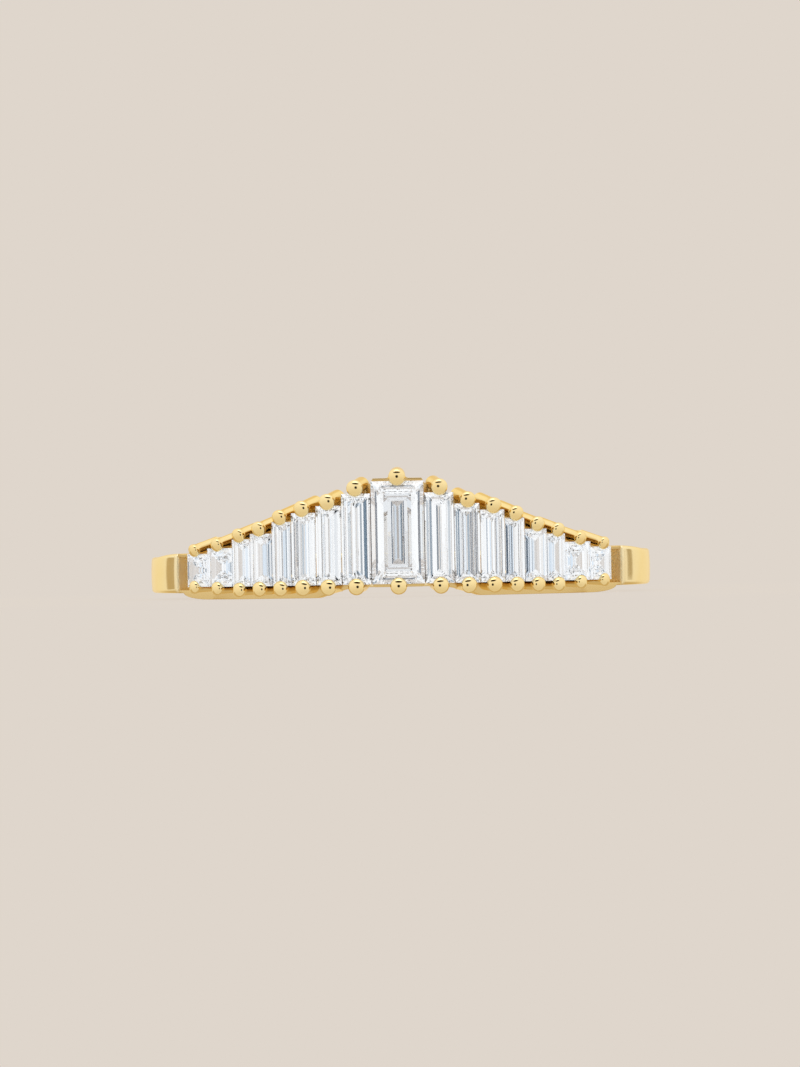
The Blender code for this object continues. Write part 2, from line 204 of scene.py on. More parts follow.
class ShapeTree(Tree):
    """A Geometry Nodes tree with named inputs, which a modifier fills in."""

    KINDS = {
        int: "NodeSocketInt",
        float: "NodeSocketFloat",
        Object: "NodeSocketObject",
        Material: "NodeSocketMaterial",
    }

    def __init__(self, name: str, gold: Material, inputs: dict[str, Term]) -> None:
        """Starts the tree and its inputs.

        Args:
            name: the tree's name.
            gold: the finish of what it makes.
            inputs: each named input with the value that the modifier gives it.
        """
        super().__init__(bpy.data.node_groups.new(name, "GeometryNodeTree"))
        self.values = {**inputs, "Gold": gold}
        face = self.tree.interface
        for way in ("INPUT", "OUTPUT"):
            face.new_socket("Geometry", in_out=way, socket_type="NodeSocketGeometry")
        for title, value in self.values.items():
            face.new_socket(title, in_out="INPUT", socket_type=self.KINDS[type(value)])
        self.start = self.tree.nodes.new("NodeGroupInput")

    def given(self, name: str) -> Value:
        """The named input inside the tree."""
        return Value(self, self.start.outputs[name])

    def carried(self, name: str, kind: str = "FLOAT") -> Value:
        """What each point carries under this name."""
        return self.add("GeometryNodeInputNamedAttribute", {"Name": name}, "Attribute", data_type=kind)

    def shape(self, name: str) -> Value:
        """The mesh of the object in the named input."""
        return self.add("GeometryNodeObjectInfo", {"Object": self.given(name)}, "Geometry")

    def moved(self, geometry: Value, terms: dict[str, Term]) -> Value:
        """Geometry with each point moved to a Position or by an Offset."""
        return self.add("GeometryNodeSetPosition", {"Geometry": geometry, **terms})

    def copies(self, points: Value, shape: Value, rotation: Value, scale: Value) -> Value:
        """Puts a real copy of a shape on each point.

        Args:
            points: the points.
            shape: what is copied.
            rotation: each copy's turn.
            scale: each copy's scale.

        Returns:
            The copies.
        """
        terms = {"Points": points, "Instance": shape, "Rotation": rotation, "Scale": scale}
        copies = self.add("GeometryNodeInstanceOnPoints", terms)
        return self.add("GeometryNodeRealizeInstances", (copies,))

    def cut(self, solid: Value, cutters: list[Value]) -> Value:
        """Cuts shapes out of a solid.

        Args:
            solid: the solid.
            cutters: what is cut away, one after the other.

        Returns:
            What is left.
        """
        for cutter in cutters:
            terms = (solid, cutter)
            solid = self.add("GeometryNodeMeshBoolean", terms, operation="DIFFERENCE", solver="EXACT")
        return solid

    def finish(self, geometry: Value, angle: float) -> None:
        """Ends the tree in Realize Instances, sharp edges and Set Material.

        Args:
            geometry: what the tree has made.
            angle: edges that turn more than this stay sharp.
        """
        made = self.add("GeometryNodeRealizeInstances", (geometry,))
        soft = self.add("GeometryNodeInputMeshEdgeAngle", output="Unsigned Angle") < angle
        for domain, smooth in (("FACE", True), ("EDGE", soft)):
            terms = {"Geometry": made, "Shade Smooth": smooth}
            made = self.add("GeometryNodeSetShadeSmooth", terms, domain=domain)
        made = self.add("GeometryNodeSetMaterial", {"Geometry": made, "Material": self.given("Gold")})
        self.fill(self.tree.nodes.new("NodeGroupOutput"), (made,))

    def applied(self, start: Mesh, name: str, bevel: float = 0.0) -> Object:
        """Runs the tree on a mesh and makes the result a plain mesh object.

        Args:
            start: the mesh that goes in. It is removed.
            name: the new object's name.
            bevel: the width of a bevel on its sharpest edges, or 0 for none.

        Returns:
            The new object, at the origin.
        """
        rough = linked(f"{name}_start", start)
        modifier = rough.modifiers.new(self.tree.name, "NODES")
        modifier.node_group = self.tree
        for item in self.tree.interface.items_tree:
            if item.in_out == "INPUT" and item.name in self.values:
                modifier[item.identifier] = self.values[item.name]
        if bevel:
            rounding = rough.modifiers.new("rounded_edges", "BEVEL")
            rounding.width = bevel
            rounding.segments = BEVEL_SEGMENTS
            rounding.limit_method = "ANGLE"
            rounding.angle_limit = HARD_EDGE
        weighted = rough.modifiers.new("flat_faces_stay_flat", "WEIGHTED_NORMAL")
        weighted.keep_sharp = True
        graph = bpy.context.evaluated_depsgraph_get()
        graph.update()
        mesh = bpy.data.meshes.new_from_object(rough.evaluated_get(graph))
        mesh.name = name
        bpy.data.objects.remove(rough)
        bpy.data.meshes.remove(start)
        return linked(name, mesh)


# Meshes


def linked(name: str, mesh: Mesh) -> Object:
    """Puts a mesh into the scene as an object at the origin.

    Args:
        name: the object's name.
        mesh: its mesh.

    Returns:
        The object.
    """
    thing = bpy.data.objects.new(name, mesh)
    bpy.context.scene.collection.objects.link(thing)
    return thing


def finished(name: str, mesh: bmesh.types.BMesh) -> Mesh:
    """Turns a bmesh into a mesh with outward faces.

    Args:
        name: the mesh's name.
        mesh: the bmesh. It is freed.

    Returns:
        The mesh.
    """
    bmesh.ops.recalc_face_normals(mesh, faces=mesh.faces)
    data = bpy.data.meshes.new(name)
    mesh.to_mesh(data)
    mesh.free()
    return data


def loft(name: str, rings: list[list[Vector]]) -> Mesh:
    """Makes a closed body through rings of points, with flat ends.

    Args:
        name: the mesh's name.
        rings: the rings, all of one length and one sense.

    Returns:
        The mesh, its faces outwards.
    """
    mesh = bmesh.new()
    rows = [[mesh.verts.new(point) for point in ring] for ring in rings]
    for row, after in zip(rows, rows[1:]):
        for i in range(len(row)):
            j = (i + 1) % len(row)
            mesh.faces.new((row[i], row[j], after[j], after[i]))
    mesh.faces.new(rows[0][::-1])
    mesh.faces.new(rows[-1])
    return finished(name, mesh)


def joined(name: str, parts: list[Mesh]) -> Mesh:
    """Gathers several closed meshes in one and removes them.

    Args:
        name: the new mesh's name.
        parts: the meshes.

    Returns:
        The mesh that holds them all.
    """
    mesh = bmesh.new()
    for part in parts:
        mesh.from_mesh(part)
        bpy.data.meshes.remove(part)
    return finished(name, mesh)


def loose_points(name: str, points: list[Vector], carried: dict[str, list[float] | list[Vector]]) -> Mesh:
    """Makes loose points that carry numbers or vectors, which a tree reads by name.

    Args:
        name: the mesh's name.
        points: the points.
        carried: one value for each point, by attribute name.

    Returns:
        The mesh.
    """
    mesh = bpy.data.meshes.new(name)
    mesh.from_pydata(points, [], [])
    for title, values in carried.items():
        kind, key = ("FLOAT_VECTOR", "vector") if isinstance(values[0], Vector) else ("FLOAT", "value")
        for item, value in zip(mesh.attributes.new(title, kind, "POINT").data, values):
            setattr(item, key, value)
    return mesh


def eased(share: float) -> float:
    """A smooth rise from 0 to 1."""
    share = min(max(share, 0.0), 1.0)
    return share * share * (3.0 - 2.0 * share)


# Places


@dataclass(frozen=True)
class FingerAxis:
    """The upright line through the middle of the finger hole."""

    y: float

    @classmethod
    def from_frame(cls) -> "FingerAxis":
        """Finds the axis: the shank is a full circle at the back, so it stands half the width inside."""
        low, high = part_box("ring_body")
        return cls(y=high.y - (high.x - low.x) / 2)

    def point(self, angle: float, radius: float, z: float) -> Vector:
        """The point at this angle from the front, positive towards +X."""
        return Vector((radius * math.sin(angle), self.y - radius * math.cos(angle), z))

    def turn(self, angle: float) -> Matrix:
        """Turns a shape made at the front to this angle."""
        return Matrix.Translation((0.0, self.y, 0.0)) @ Matrix.Rotation(angle, 4, "Z")


@dataclass(frozen=True)
class Bead:
    """The prongs of one stone: their share of the centre pair's size, and their rise past the stone."""

    share: float
    over: float
    under: float


@dataclass(frozen=True)
class Seat:
    """One stone's place and size, read from its node, with its prongs' heights."""

    node: str
    place: int
    angle: float
    reach: float
    width: float
    low: float
    high: float
    bead: float
    upper: float
    lower: float
    slope: float

    @property
    def middle(self) -> float:
        """Height of the stone's middle."""
        return (self.low + self.high) / 2

    @property
    def height(self) -> float:
        """The stone's own height."""
        return self.high - self.low


@dataclass(frozen=True)
class Layout:
    """What the pieces share: the axis, the radii and the row of seats."""

    axis: FingerAxis
    bore: float = 8.50 * MM
    shank: float = 9.84 * MM
    shoulder: float = 9.95 * MM
    gallery: float = 9.24 * MM
    beads: float = 10.3634 * MM
    root: float = 8.796 * MM
    shank_low: float = 0.26 * MM
    shank_high: float = 1.67 * MM
    shoulder_high: float = 1.80 * MM
    shoulder_angle: float = math.radians(60.752)
    swell_angle: float = math.radians(80.968)
    cheek_angle: float = math.radians(51.327)
    bead: float = 0.326 * MM
    stem_share: float = 0.85
    stem_slope: float = 0.055
    stem_steeper: float = 0.26
    upper_foot: float = 1.12
    lower_foot: float = 0.70
    lobe_share: float = 0.94
    side_tolerance: float = 0.01 * MM
    rows: tuple[Bead, ...] = (
        Bead(1.00, 0.47, 0.26),
        Bead(0.98, 0.65, 0.28),
        Bead(0.96, 0.47, 0.31),
        Bead(0.96, 0.51, 0.31),
        Bead(0.91, 0.58, 0.38),
        Bead(0.89, 0.63, 0.41),
        Bead(0.85, 0.53, 0.48),
        Bead(0.80, 0.49, 0.25),
        Bead(0.77, 0.54, 0.02),
    )

    def foot(self, edge: Edge) -> float:
        """How much thicker than its neck a stem is at its foot."""
        return self.upper_foot if edge is Edge.UPPER else self.lower_foot

    def lobe(self, bead: float, edge: Edge) -> float:
        """Radius of the gallery's lobe round the foot of this bead's stem."""
        return bead * self.stem_share * self.foot(edge) * self.lobe_share

    def seat(self, node: str, place: int) -> Seat:
        """Reads a stone's place and size from its node.

        Args:
            node: the stone's node.
            place: how many stones it is from the centre.

        Returns:
            The seat.
        """
        points = [vertex.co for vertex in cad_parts[node].data.vertices]
        middle = sum(points, Vector()) / len(points)
        angle = math.atan2(middle.x, self.axis.y - middle.y)
        back = self.axis.turn(angle).inverted()
        local = [back @ point for point in points]
        half = max(point.x for point in local)
        wide = [-point.y for point in local if point.x > half - self.side_tolerance]
        low, high = min(point.z for point in points), max(point.z for point in points)
        row = self.rows[place]
        bead = row.share * self.bead
        return Seat(
            node=node,
            place=place,
            angle=angle,
            reach=sum(wide) / len(wide),
            width=2 * half,
            low=low,
            high=high,
            bead=bead,
            upper=high + row.over * bead,
            lower=low - row.under * bead,
            slope=self.stem_slope + self.stem_steeper * math.sin(abs(angle)),
        )

    def seats(self) -> list[Seat]:
        """Reads all the stones.

        Returns:
            The seats from left to right.
        """
        found = [self.seat("diamond_centre", 0)]
        for side in ("left", "right"):
            found += [self.seat(f"diamond_{side}_{place}", place) for place in range(1, len(self.rows))]
        return sorted(found, key=lambda seat: seat.angle)


# Finishes


@dataclass(frozen=True)
class Finish:
    """A node-based material on the standard shader."""

    def terms(self, tree: Tree) -> Terms:
        """What goes into the shader's inputs."""
        raise NotImplementedError

    def material(self, name: str) -> Material:
        """Builds the material.

        Args:
            name: the material's name.

        Returns:
            The material.
        """
        made = bpy.data.materials.new(name)
        made.use_nodes = True
        tree = Tree(made.node_tree)
        tree.fill(made.node_tree.nodes["Principled BSDF"], self.terms(tree))
        return made


@dataclass(frozen=True)
class PolishedGold(Finish):
    """Polished yellow gold: a mirror with the faint waves and hairlines of hand polishing."""

    colour: Colour = (0.96, 0.78, 0.41)
    deeper: Colour = (0.94, 0.73, 0.35)
    rim: Colour = (1.0, 0.86, 0.55)
    smooth: float = 0.07
    worn: float = 0.16
    cloud_size: float = 1.65 * MM
    cloud_span: Span = (0.35, 0.70)
    wave_size: float = 0.55 * MM
    wave_height: float = 0.0012 * MM
    hairline_size: float = 0.05 * MM
    hairline_height: float = 0.00006 * MM
    hairline_span: Span = (0.45, 0.75)

    def terms(self, tree: Tree) -> Terms:
        """Describes a metal whose colour, roughness and normal stray a little.

        Args:
            tree: the material's tree.

        Returns:
            What goes into the shader.
        """
        cloud, waves = tree.noise(self.cloud_size, 3.0), tree.noise(self.wave_size, 1.0)
        hairs = tree.noise(self.hairline_size)
        rough = tree.between(hairs, *self.hairline_span, self.smooth, self.worn)
        colour = tree.mixed(tree.between(cloud, *self.cloud_span), self.colour, self.deeper)
        normal = tree.add("ShaderNodeBump", {"Height": waves, "Distance": self.wave_height, "Strength": 1.0})
        fine = {"Height": hairs, "Distance": self.hairline_height, "Strength": 1.0, "Normal": normal}
        return {
            "Base Color": self.shaded(tree, colour),
            "Roughness": self.roughened(tree, rough),
            "Normal": tree.add("ShaderNodeBump", fine),
            "Metallic": 1.0,
            "Specular Tint": self.rim,
        }

    def shaded(self, tree: Tree, colour: Value) -> Value:
        """The gold's colour once painted shade is put in. Plain polished gold has none."""
        return colour

    def roughened(self, tree: Tree, rough: Value) -> Value:
        """The gold's roughness once its matt places are put in. Plain polished gold has none."""
        return rough


@dataclass(frozen=True)
class RecessGold(PolishedGold):
    """Gold of the pierced wall: its rails are polished; its upright faces between the stones are rougher and
    carry painted shade in a darker amber.
    """

    # painted shade: the darker amber that the upright faces get in place of the polished colour
    painted_shade: Colour = (0.62, 0.43, 0.18)
    smooth: float = 0.22
    worn: float = 0.25
    hairline_height: float = 0.00001 * MM
    # painted shadow: near black on the wall's faces behind the row of stones
    painted_gap_shadow: Colour = (0.05, 0.03, 0.02)
    # painted shade, lighter: the colour of the lower rim's upright faces
    rim_painted_shade: Colour = (0.79, 0.59, 0.27)
    rim_top: float = 0.40 * MM
    gaps_low: float = 0.55 * MM
    gaps_high: float = 4.27 * MM
    gaps_fall: float = 0.409
    gaps_end: float = 6.9 * MM
    outward: float = -0.3
    level_span: Span = (0.25, 0.60)

    def shaded(self, tree: Tree, colour: Value) -> Value:
        """Keeps the polished colour on faces that look up or down and paints shade on the upright ones.

        Those of the lower rim get a lighter painted shade, and those behind the row of stones, where only the
        gaps show them, get a near-black painted shadow.

        Args:
            tree: the material's tree.
            colour: the polished colour.

        Returns:
            The colour.
        """
        x, _, z = tree.split(tree.coordinates("Object"))
        _, forward, upward = tree.split(tree.coordinates("Normal"))
        away = abs(x)
        # mask of the outward faces behind the row of stones, which get the painted shadow
        behind = (z > self.gaps_low) * (z < self.gaps_high - away * self.gaps_fall)
        behind = behind * (away < self.gaps_end) * (forward < self.outward)
        # painted shadow behind the stones and painted shade on the other upright faces and the lower rim;
        # level faces keep the polished colour
        painted_shade = tree.mixed(behind, self.painted_shade, self.painted_gap_shadow)
        painted_shade = tree.mixed(tree.between(z, self.rim_top, self.gaps_low), self.rim_painted_shade, painted_shade)
        return tree.mixed(tree.between(abs(upward), *self.level_span), painted_shade, colour)


@dataclass(frozen=True)
class BandGold(PolishedGold):
    """Gold of the band: polished, with softly brushed ridges where it ends beside the cheeks."""

    colour: Colour = (0.97, 0.85, 0.56)
    deeper: Colour = (0.95, 0.80, 0.49)
    axis_y: float = 0.0
    end: float = 0.0
    brushed: float = 0.45
    brushed_span: Span = (0.15 * MM, 0.25 * MM)
    radius: float = 9.9 * MM

    def roughened(self, tree: Tree, rough: Value) -> Value:
        """Brushes the first stretch past each end.

        Args:
            tree: the material's tree.
            rough: the polished roughness.

        Returns:
            The roughness.
        """
        x, y, _ = tree.split(tree.coordinates("Object"))
        past = abs(tree.maths("ARCTAN2", x, self.axis_y - y))
        reach, fade = (self.end + length / self.radius for length in self.brushed_span)
        return tree.between(past, reach, fade, self.brushed, rough)


@dataclass(frozen=True)
class StemGold(PolishedGold):
    """Gold of the prongs: polished beads on stems, with painted shade in a darker amber on the side towards
    the stones.
    """

    axis_y: float = 0.0
    stem_span: Span = (10.1 * MM, 10.26 * MM)
    middle: float = 1.2 * MM
    # painted shade: the darker amber of the stems' sides towards the stones
    stem_shade: Colour = (0.56, 0.36, 0.12)
    stem_shade_span: Span = (0.15, 0.60)

    def shaded(self, tree: Tree, colour: Value) -> Value:
        """Paints shade on the stems' sides towards the stones, which lie above the lower row and below the
        upper one.

        Args:
            tree: the material's tree.
            colour: the polished colour.

        Returns:
            The colour.
        """
        x, y, z = tree.split(tree.coordinates("Object"))
        y = y - self.axis_y
        stem = tree.between(tree.maths("SQRT", x * x + y * y), *self.stem_span, 1.0, 0.0)
        upward = tree.split(tree.coordinates("Normal"))[2]
        outward = upward * tree.maths("SIGN", z - self.middle)
        # painted shade on the stems' sides that face the stones
        return tree.mixed(stem * tree.between(outward, *self.stem_shade_span, 1.0, 0.0), colour, self.stem_shade)


@dataclass(frozen=True)
class CutDiamond(Finish):
    """Colourless diamond with the faintest cloud in it."""

    colour: Colour = (1.0, 1.0, 1.0)
    cloud: Colour = (0.985, 0.99, 1.0)
    cloud_size: float = 0.8 * MM
    cloud_span: Span = (0.40, 0.70)
    index: float = 2.417

    def terms(self, tree: Tree) -> Terms:
        """Describes a clear body that bends light as diamond does.

        Args:
            tree: the material's tree.

        Returns:
            What goes into the shader.
        """
        cloud = tree.between(tree.noise(self.cloud_size), *self.cloud_span)
        return {
            "Base Color": tree.mixed(cloud, self.colour, self.cloud),
            "Roughness": 0.0,
            "IOR": self.index,
            "Transmission Weight": 1.0,
        }


# The gold casting, in four pieces


@dataclass
class Shank:
    """The band from one shoulder round the back to the other."""

    layout: Layout
    gold: Material
    rounding: float = 0.13 * MM
    corner_points: int = 8
    crown: float = 0.03 * MM
    steps: int = 144
    points: int = 112

    def tree(self) -> ShapeTree:
        """Builds the tree that sweeps the rounded section and swells it towards the shoulders.

        Returns:
            The tree.
        """
        lay = self.layout
        tree = ShapeTree(
            "shank_sweep",
            self.gold,
            {
                "Axis Y": lay.axis.y,
                "Bore radius": lay.bore,
                "Thickness": lay.shank - lay.bore,
                "Low": lay.shank_low,
                "Height": lay.shank_high - lay.shank_low,
                "Shoulder swell": lay.shoulder - lay.shank,
                "Shoulder rise": lay.shoulder_high - lay.shank_high,
                "Shoulder angle": lay.shoulder_angle,
                "Swell angle": lay.swell_angle,
                "Rounding": self.rounding,
                "Crown": self.crown,
                "Steps": self.steps,
                "Points": self.points,
            },
        )
        given = tree.given
        bore, thickness, height = given("Bore radius"), given("Thickness"), given("Height")
        end = given("Shoulder angle")
        arc = {
            "Resolution": given("Steps"),
            "Radius": bore + thickness * 0.5,
            "Start Angle": end - math.pi / 2,
            "Sweep Angle": math.tau - end * 2.0,
        }
        path = tree.add("GeometryNodeSetCurveNormal", (tree.add("GeometryNodeCurveArc", arc),), mode="Z_UP")
        section = tree.add("GeometryNodeCurvePrimitiveQuadrilateral", {"Width": thickness, "Height": height})
        corners = {"Count": self.corner_points, "Radius": given("Rounding"), "Limit Radius": True}
        section = tree.add("GeometryNodeFilletCurve", {"Curve": section, **corners}, mode="POLY")
        section = tree.add("GeometryNodeResampleCurve", {"Curve": section, "Count": given("Points")})
        sweep = {"Curve": path, "Profile Curve": section, "Fill Caps": True}
        band = tree.add("GeometryNodeCurveToMesh", sweep)

        x, y, z = tree.split(tree.add("GeometryNodeInputPosition"))
        radius = tree.maths("SQRT", x * x + y * y)
        swell = tree.between(abs(tree.maths("ARCTAN2", x, y * -1.0)), given("Swell angle"), end)
        out = (radius - bore) / thickness
        up = z / height + 0.5
        belly = up * (1.0 - up) * 4.0
        grown = thickness + swell * given("Shoulder swell") + belly * given("Crown")
        wide = (bore + out * grown) / radius
        tall = height + swell * given("Shoulder rise")
        place = tree.vector(x * wide, y * wide + given("Axis Y"), given("Low") + up * tall)
        tree.finish(tree.moved(band, {"Position": place}), HARD_EDGE)
        return tree

    def build(self) -> Object:
        """Builds the band with its ends rounded."""
        return self.tree().applied(bpy.data.meshes.new("shank_start"), "shank", bevel=self.rounding)


@dataclass
class Gallery:
    """The pierced wall behind the stones, with the hollow cheeks at its ends."""

    layout: Layout
    gold: Material
    seats: list[Seat]
    ease: float = 0.12 * MM
    soft: float = 0.04 * MM
    bite: float = 0.3
    scallop_radius: float = 1.60 * MM
    upper_join: float = -0.30
    lower_join: float = 0.95
    rail_gap: float = 0.12 * MM
    rail_fillet: float = 0.16 * MM
    rail_rounding: float = 0.085 * MM
    rail_drop: float = 0.16 * MM
    rail_steps: int = 6
    rim_rise: float = 0.25 * MM
    rim_gap: float = 0.28 * MM
    rim_run: float = 0.97 * MM
    rim_stones: tuple[int, int] = (2, 3)
    cheek_sag: float = 0.5
    cheek_lip: float = 0.06 * MM
    cheek_wall: float = 0.11 * MM
    cheek_length: float = 1.26 * MM
    cheek_reach: Span = (-0.06, 1.02)
    cheek_steps: int = 19
    end_overlap: float = 0.24 * MM
    window_width: float = 0.52
    window_margin: float = 0.30 * MM
    window_sides: int = 32
    window_snap: float = 0.01
    step: float = math.radians(0.4)
    girdle: float = 10.2034 * MM

    @property
    def half(self) -> list[Seat]:
        """The seats from the centre to the right end."""
        return self.seats[len(self.seats) // 2 :]

    @property
    def rail_end(self) -> list[tuple[float, float]]:
        """Finds the rounded end of the rail, past the centre stone's corner.

        Returns:
            The angle and the drop at each of its points.
        """
        centre = self.half[0]
        corner = math.atan2(centre.width / 2, centre.reach)
        turns = [math.pi / 2 * i / self.rail_steps for i in range(self.rail_steps + 1)]
        reach, drop = self.rail_rounding / self.layout.gallery, self.rail_drop
        return [(corner + reach * math.sin(turn), drop * (1 - math.cos(turn))) for turn in turns]

    def rim(self, angle: float) -> float:
        """Height of the rim's underside, which sinks to the floor under the outer stones, up to the shank.

        Args:
            angle: the angle from the front.

        Returns:
            The height.
        """
        lay = self.layout
        start, full = (self.half[place].angle for place in self.rim_stones)
        up = lay.shoulder_angle - self.rim_gap / lay.gallery
        end = min(max(1 - (up - angle) * lay.gallery / self.rim_run, 0.0), 1.0)
        fade = self.rim_rise * (1 - eased((angle - start) / (full - start)))
        return fade + lay.shank_low * (1 - math.sqrt(1 - end**2))

    def fillet(self, past: float) -> float:
        """Height above the rail of the fillet this far past the centre prong's lobe."""
        away = min(max(past, 0.0), self.rail_fillet)
        return self.rail_fillet - math.sqrt(self.rail_fillet**2 - (self.rail_fillet - away) ** 2)

    def edge(self, angle: float, edge: Edge) -> float:
        """Height of one edge: a flat rail along the centre stone, then scallops between lobes round the feet.

        Under the outer stones the lower edge is a plain rim.

        Args:
            angle: the angle from the front.
            edge: which edge.

        Returns:
            The height.
        """
        lay, half, upper = self.layout, self.half, edge is Edge.UPPER
        angle = abs(angle)
        feet = []
        for seat in half:
            rise = seat.slope * (lay.beads - lay.gallery)
            feet.append((seat.angle, seat.upper + rise if upper else -seat.lower, lay.lobe(seat.bead, edge)))
        rail = self.rail_gap + (half[0].high if upper else -half[0].low)
        join = self.upper_join if upper else self.lower_join
        height = lay.shoulder_high if upper else -lay.shank_low
        knots = [(0.0, rail)] + [(turn, rail - drop) for turn, drop in self.rail_end]
        knots += [(turn, centre + join * lobe) for turn, centre, lobe in feet[1:]]
        knots.append((lay.shoulder_angle, height))
        for (turn, first), (after, second) in zip(knots, knots[1:]):
            if turn <= angle <= after:
                share = (angle - turn) / (after - turn)
                depth = ((after - turn) * self.girdle) ** 2 / (8 * self.scallop_radius) if turn else 0.0
                depth *= self.cheek_sag if after == lay.shoulder_angle else 1.0
                height = first + (second - first) * share - 4 * share * (1 - share) * depth
        for turn, centre, lobe in feet:
            across = abs(angle - turn) * lay.gallery
            if across < lobe:
                height = max(height, centre + math.sqrt(lobe**2 - across**2))
            elif turn == half[0].angle and angle < self.rail_end[0][0]:
                height += self.fillet(across - lobe)
        if not upper and angle > half[self.rim_stones[0]].angle:
            height = max(height, -self.rim(angle))
        return edge.value * height

    def outer(self, angle: float) -> float:
        """Outer radius, which swells to the shoulder past the last stone.

        Args:
            angle: the angle from the front.

        Returns:
            The radius.
        """
        lay = self.layout
        share = eased((abs(angle) - lay.cheek_angle) / (lay.shoulder_angle - lay.cheek_angle))
        return lay.gallery + share * (lay.shoulder - self.cheek_lip - lay.gallery)

    def wall(self) -> Mesh:
        """Builds the wall before it is pierced. Its narrowed ends run into the shoulders.

        Returns:
            The mesh.
        """
        lay, ease, soft = self.layout, self.ease, self.soft
        ends = lay.shoulder_angle + self.end_overlap / lay.bore
        count = math.ceil(2 * lay.shoulder_angle / self.step)
        angles = {lay.shoulder_angle * (2 * i / count - 1) for i in range(count + 1)}
        angles |= {side * angle for angle, drop in self.rail_end for side in (-1, 1)}
        shares = ((1.0, 0.0), (self.bite, self.bite), (0.0, 1.0))
        rings = []
        for angle in [-ends] + sorted(angles) + [ends]:
            inset = ease if abs(angle) == ends else 0.0
            inner, outer = lay.bore + inset, self.outer(angle) - inset
            low, high = self.edge(angle, Edge.LOWER) + inset, self.edge(angle, Edge.UPPER) - inset
            corners = (
                (outer, low, -soft, soft, shares),
                (outer, high, -soft, -soft, shares[::-1]),
                (inner, high, ease, -ease, shares),
                (inner, low, ease, ease, shares[::-1]),
            )
            rings.append([
                lay.axis.point(angle, radius + across * i, z + up * j)
                for radius, z, across, up, rounded in corners
                for i, j in rounded
            ])
        return loft("gallery_start", rings)

    def recesses(self) -> Mesh:
        """Builds the two hollows between the last stones and the shoulders.

        Returns:
            The mesh of both.
        """
        lay = self.layout
        start, end = self.cheek_reach
        halves = []
        for side in (-1, 1):
            rings = []
            for i in range(self.cheek_steps + 1):
                share = start + (end - start) * i / self.cheek_steps
                angle = lay.cheek_angle + (lay.shoulder_angle - lay.cheek_angle) * share
                radii = (lay.gallery, lay.shoulder + self.cheek_length)
                heights = (lay.shank_low + self.cheek_wall, self.edge(angle, Edge.UPPER) - self.cheek_wall)
                rings.append([lay.axis.point(side * angle, radii[j > 0], heights[k > 0]) for j, k in CORNERS])
            halves.append(loft("recess", rings))
        return joined("cheek_recesses", halves)

    def windows(self) -> Mesh:
        """Sets out one point for each window, with its width, its stretch and its turn.

        Returns:
            The points.
        """
        lay, seats = self.layout, self.seats
        middle = (lay.bore + lay.gallery) / 2
        widths = [seat.width * self.window_width for seat in seats]
        carried = {
            "width": widths,
            "stretch": [(s.height - 2 * self.window_margin - w) / 2 for s, w in zip(seats, widths)],
            "turn": [seat.angle for seat in seats],
        }
        points = [lay.axis.point(seat.angle, middle, seat.middle) for seat in seats]
        return loose_points("gallery_windows", points, carried)

    def tree(self, windows: Object, recesses: Object) -> ShapeTree:
        """Builds the tree that pierces the wall.

        Args:
            windows: the points of the windows.
            recesses: the hollows of the cheeks.

        Returns:
            The tree.
        """
        lay = self.layout
        inputs = {"Windows": windows, "Recesses": recesses, "Depth": 2 * (lay.gallery - lay.bore)}
        tree = ShapeTree("gallery_piercing", self.gold, {**inputs, "Sides": self.window_sides})
        given, carried = tree.given, tree.carried
        cylinder = {"Vertices": given("Sides"), "Radius": 0.5, "Depth": 1.0}
        rod = tree.add("GeometryNodeMeshCylinder", cylinder)
        rod = tree.add("GeometryNodeTransform", {"Geometry": rod, "Rotation": (math.pi / 2, 0.0, 0.0)})
        height = tree.split(tree.add("GeometryNodeInputPosition"))[2]
        half = tree.maths("SIGN", tree.maths("SNAP", height, self.window_snap))
        stored = {"Geometry": rod, "Name": "half", "Value": half}
        rod = tree.add("GeometryNodeStoreNamedAttribute", stored, data_type="FLOAT", domain="POINT")
        size = tree.vector(carried("width"), given("Depth"), carried("width"))
        holes = tree.copies(tree.shape("Windows"), rod, tree.vector(z=carried("turn")), size)
        holes = tree.moved(holes, {"Offset": tree.vector(z=carried("half") * carried("stretch"))})
        tree.finish(tree.cut(given("Geometry"), [holes, tree.shape("Recesses")]), SOFT_EDGE)
        return tree

    def build(self) -> Object:
        """Builds the pierced wall.

        Returns:
            The piece.
        """
        helpers = [linked(mesh.name, mesh) for mesh in (self.windows(), self.recesses())]
        piece = self.tree(*helpers).applied(self.wall(), "gallery")
        for helper in helpers:
            bpy.data.objects.remove(helper)
        return piece


